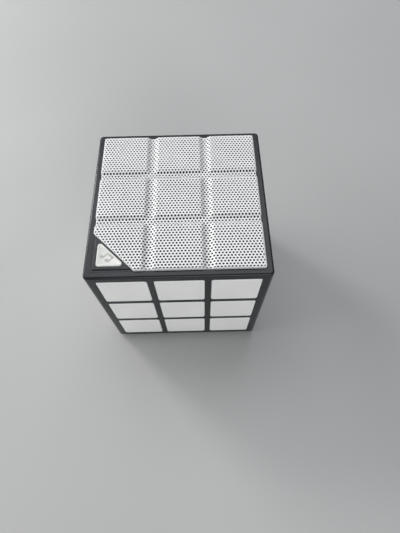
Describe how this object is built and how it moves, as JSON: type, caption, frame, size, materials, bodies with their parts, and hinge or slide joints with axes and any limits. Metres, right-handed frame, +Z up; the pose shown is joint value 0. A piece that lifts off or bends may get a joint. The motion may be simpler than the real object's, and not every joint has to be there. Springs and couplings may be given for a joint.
{
  "type": "portable cube speaker",
  "caption": "Small battery loudspeaker shaped as a puzzle cube: black lattice frame, lit white tiles on the sides, perforated quilted grille on top, cut corner with a nameplate.",
  "frame": {"origin": "centre of the square base, on the plane of the feet", "axes": "+Z up, the front face (under the cut corner) faces -Y, +X to its right"},
  "size_m": [0.08, 0.08, 0.0818],
  "materials": {
    "frame_black": "satin moulded ABS",
    "deck_black": "satin moulded ABS",
    "diffuser": "milky translucent, soft gloss",
    "baffle_white": "matt white moulding",
    "led_board": "white solder mask",
    "led": "phosphor lens",
    "grille_white": "white powder coat on perforated sheet",
    "cloth": "fine black acoustic cloth",
    "nameplate": "cream, softly moulded",
    "basket": "black painted pressed steel",
    "zinc_steel": "zinc plated",
    "ferrite": "sintered ferrite",
    "paper": "pressed paper cone",
    "former": "amber film",
    "copper": "enamelled copper wire",
    "surround_rubber": "butyl rubber",
    "spider": "resin-dipped cloth",
    "foam": "closed-cell foam",
    "terminal": "phenolic strip with tinned tags",
    "chamber": "black moulded ABS",
    "board_green": "green solder mask",
    "module_can": "tinned shield",
    "chip": "moulded epoxy",
    "inductor": "moulded ferrite",
    "socket": "natural nylon",
    "panel_black": "satin moulded ABS",
    "button": "soft-touch",
    "switch_metal": "pressed tinplate",
    "knob": "moulded acetal",
    "port_metal": "nickel plated",
    "port_tongue": "black liquid-crystal polymer",
    "jack": "black nylon",
    "lens": "clear light pipe",
    "base": "textured ABS",
    "foot_rubber": "matt rubber",
    "screw": "black zinc",
    "cell": "laminated foil",
    "tape": "double-sided tape",
    "wire": "silicone insulated"
  },
  "bodies": {
    "housing": {"lattice_frame": "frame_black", "top_deck": "deck_black", "leds": "led", "nameplate": "nameplate", "grille": "grille_white", "acoustic_cloth": "cloth", "driver_basket": "basket", "driver_top_plate": "zinc_steel", "driver_magnet": "ferrite", "driver_yoke": "zinc_steel", "driver_gasket": "foam", "driver_terminals": "terminal", "speaker_chamber": "chamber", "chamber_seal": "foam", "lead_grommet": "foot_rubber", "main_board": "board_green", "radio_module": "module_can", "amplifier_chip": "chip", "power_inductors": "inductor", "lead_sockets": "socket", "io_panel": "panel_black", "io_board": "board_green", "tact_switches": "switch_metal", "power_switch": "switch_metal", "charging_port": "port_metal", "charging_port_tongue": "port_tongue", "aux_jack": "jack", "status_lens": "lens", "base_plate": "base", "rubber_feet": "foot_rubber", "small_screws": "screw", "case_screws": "screw", "battery_cell": "cell", "battery_tape": "tape", "battery_lead": "wire", "speaker_lead": "wire", "light_panel_front": "diffuser", "light_baffle_front": "baffle_white", "led_board_front": "led_board", "light_panel_right": "diffuser", "light_baffle_right": "baffle_white", "led_board_right": "led_board", "light_panel_back": "diffuser", "light_baffle_back": "baffle_white", "led_board_back": "led_board", "light_panel_left": "diffuser", "light_baffle_left": "baffle_white", "led_board_left": "led_board"},
    "diaphragm": {"driver_cone": "paper", "driver_dust_cap": "paper", "driver_coil_former": "former", "driver_voice_coil": "copper", "driver_surround": "surround_rubber", "driver_spider": "spider"},
    "volume_down_key": {"button_volume_down": "button"},
    "play_key": {"button_play": "button"},
    "volume_up_key": {"button_volume_up": "button"},
    "switch_slider": {"power_switch_knob": "knob"}
  },
  "joints": [
    {"name": "diaphragm_stroke", "type": "slide", "parent": "housing", "child": "diaphragm", "axis": [0, 0, 1], "range_m": [-0.0012, 0.0012], "stiffness_N_per_m": 600, "deforming": ["driver_surround", "driver_spider"]},
    {"name": "volume_down_press", "type": "slide", "parent": "housing", "child": "volume_down_key", "axis": [0, -1, 0], "range_m": [0, 0.00035], "stiffness_N_per_m": 1500},
    {"name": "play_press", "type": "slide", "parent": "housing", "child": "play_key", "axis": [0, -1, 0], "range_m": [0, 0.00035], "stiffness_N_per_m": 1500},
    {"name": "volume_up_press", "type": "slide", "parent": "housing", "child": "volume_up_key", "axis": [0, -1, 0], "range_m": [0, 0.00035], "stiffness_N_per_m": 1500},
    {"name": "power_slide", "type": "slide", "parent": "housing", "child": "switch_slider", "axis": [1, 0, 0], "range_m": [0, 0.002]}
  ]
}
